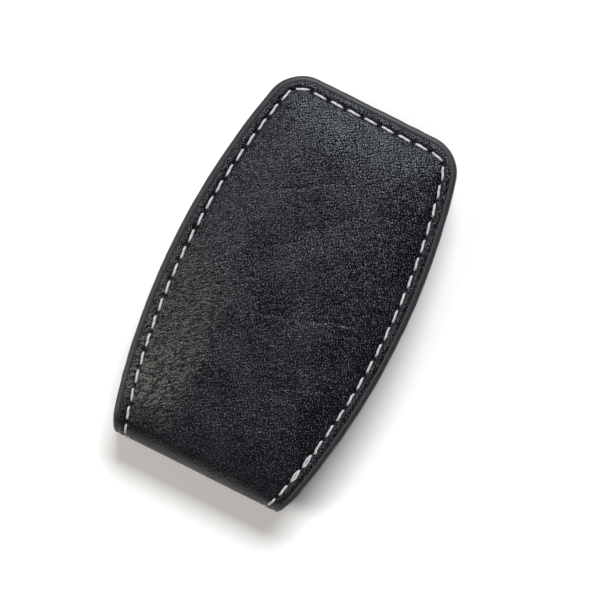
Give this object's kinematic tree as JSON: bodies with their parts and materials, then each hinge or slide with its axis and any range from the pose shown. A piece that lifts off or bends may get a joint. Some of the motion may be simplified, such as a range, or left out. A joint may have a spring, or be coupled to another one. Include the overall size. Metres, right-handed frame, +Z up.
{
  "type": "money clip",
  "caption": "Folding leather money clip: a stitched, padded strip with bowed sides, bent round at one end, with magnets in both flaps to hold folded notes.",
  "frame": {"origin": "centre of the clip's footprint, on the surface that its back flap lies on", "axes": "+X across the clip, +Y from the fold to the free ends, +Z up, from the back flap to the front flap"},
  "size_m": [0.0434, 0.0714, 0.0118],
  "materials": {
    "outer_leather": "fine pebbled grain, semi-matt, near-black with a slightly blue cast",
    "lining_leather": "smooth black lining leather, matt",
    "edge_paint": "matt charcoal edge paint, rounded",
    "thread": "light grey waxed polyester thread",
    "magnet_board": "pressed leatherboard, inside the clip",
    "padding": "thin felt padding, inside the clip",
    "magnet": "nickel-plated disc, inside the clip"
  },
  "bodies": {
    "back_flap": {"back_outer_leather": "outer_leather", "back_padding": "padding", "back_magnet_board": "magnet_board", "back_magnet_tip": "magnet", "back_magnet_fold": "magnet", "back_lining": "lining_leather", "back_edge_paint": "edge_paint", "back_outer_thread": "thread", "back_inner_thread": "thread"},
    "fold_section_1": {"fold_1_leather": "outer_leather", "fold_1_lining": "lining_leather", "fold_1_edge_paint": "edge_paint", "fold_1_outer_thread": "thread", "fold_1_inner_thread": "thread"},
    "fold_section_2": {"fold_2_leather": "outer_leather", "fold_2_lining": "lining_leather", "fold_2_edge_paint": "edge_paint", "fold_2_outer_thread": "thread", "fold_2_inner_thread": "thread"},
    "fold_section_3": {"fold_3_leather": "outer_leather", "fold_3_lining": "lining_leather", "fold_3_edge_paint": "edge_paint", "fold_3_outer_thread": "thread", "fold_3_inner_thread": "thread"},
    "front_flap": {"front_outer_leather": "outer_leather", "front_padding": "padding", "front_magnet_board": "magnet_board", "front_magnet_tip": "magnet", "front_magnet_fold": "magnet", "front_lining": "lining_leather", "front_edge_paint": "edge_paint", "front_outer_thread": "thread", "front_inner_thread": "thread"}
  },
  "joints": [
    {"name": "fold_1", "type": "hinge", "parent": "back_flap", "child": "fold_section_1", "pos_m": [0, -0.03301, 0.00202], "axis": [1, 0, 0], "range_deg": [-0.85, 45], "stiffness_Nm_per_rad": 0.05, "springref_deg": 3.23},
    {"name": "fold_2", "type": "hinge", "parent": "fold_section_1", "child": "fold_section_2", "pos_m": [0, -0.03528, 0.00429], "axis": [1, 0, 0], "range_deg": [-0.85, 45], "stiffness_Nm_per_rad": 0.05, "springref_deg": 3.23},
    {"name": "fold_3", "type": "hinge", "parent": "fold_section_2", "child": "fold_section_3", "pos_m": [0, -0.03528, 0.00751], "axis": [1, 0, 0], "range_deg": [-0.85, 45], "stiffness_Nm_per_rad": 0.05, "springref_deg": 3.23},
    {"name": "fold_4", "type": "hinge", "parent": "fold_section_3", "child": "front_flap", "pos_m": [0, -0.03301, 0.00978], "axis": [1, 0, 0], "range_deg": [-0.85, 45], "stiffness_Nm_per_rad": 0.05, "springref_deg": 3.23}
  ],
  "couplings": [
    {"joint": "fold_2", "follows": "fold_1", "ratio": 1},
    {"joint": "fold_3", "follows": "fold_1", "ratio": 1},
    {"joint": "fold_4", "follows": "fold_1", "ratio": 1}
  ]
}
